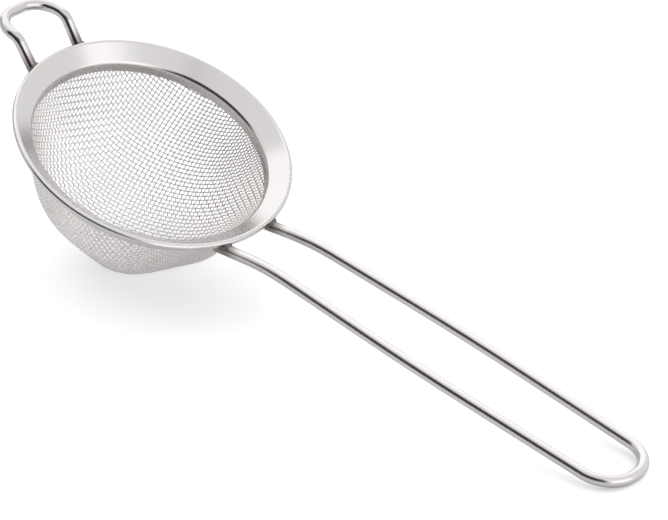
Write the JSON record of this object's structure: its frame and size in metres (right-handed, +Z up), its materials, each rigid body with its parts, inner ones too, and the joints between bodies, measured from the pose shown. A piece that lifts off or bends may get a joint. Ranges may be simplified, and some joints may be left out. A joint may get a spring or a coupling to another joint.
{
  "type": "tea strainer",
  "caption": "Tea strainer: hemispherical woven wire bowl in a sloping pressed rim, long U-bent wire handle and a small hooked rest loop, lying on a table.",
  "frame": {"origin": "centre of the footprint on the table, with the strainer lying on its bowl's bottom and its handle's tip", "axes": "+Z up from the table, +X along the handle from the bowl to the tip, the part symmetric about the XZ plane"},
  "size_m": [0.2292, 0.0818, 0.0641],
  "materials": {
    "rim_sheet": "bright pressed stainless, softly satin",
    "woven_cloth": "bright drawn wire, plain weave",
    "round_wire": "polished stainless",
    "weld_metal": "darkened by the welding heat"
  },
  "bodies": {
    "root": {"rim_band": "rim_sheet", "mesh_basket": "woven_cloth", "mesh_clamp_ring": "rim_sheet", "handle_wire": "round_wire", "rest_loop": "round_wire", "handle_weld_left": "weld_metal", "handle_weld_right": "weld_metal", "loop_weld_left": "weld_metal", "loop_weld_right": "weld_metal"}
  },
  "joints": []
}
